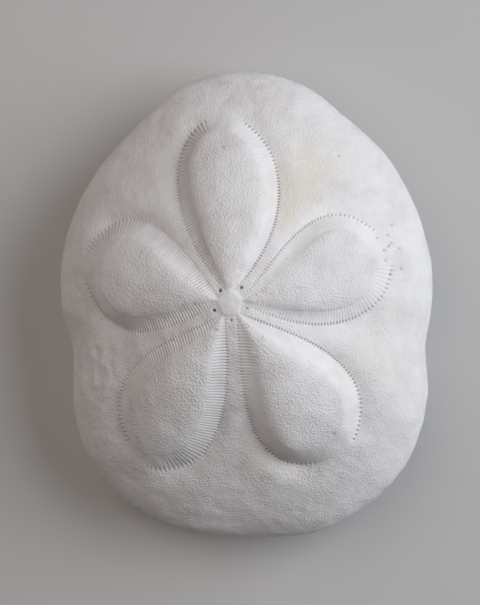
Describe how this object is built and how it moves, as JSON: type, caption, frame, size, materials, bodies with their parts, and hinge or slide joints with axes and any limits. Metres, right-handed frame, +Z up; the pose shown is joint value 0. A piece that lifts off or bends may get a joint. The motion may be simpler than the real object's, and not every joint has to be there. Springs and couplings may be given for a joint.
{
  "type": "sea biscuit",
  "caption": "Bleached sea urchin test: a domed oval with five raised petals edged by pore furrows, and a sunken mouth side that it rests on.",
  "frame": {"origin": "on the surface it rests on, under the middle of its outline", "axes": "+Z up through the five-petalled side, +Y towards the front petal, the narrow end"},
  "size_m": [0.0882, 0.1098, 0.0442],
  "materials": {
    "bleached_test": "matt, finely granular"
  },
  "bodies": {
    "root": {"shell": "bleached_test"}
  },
  "joints": []
}
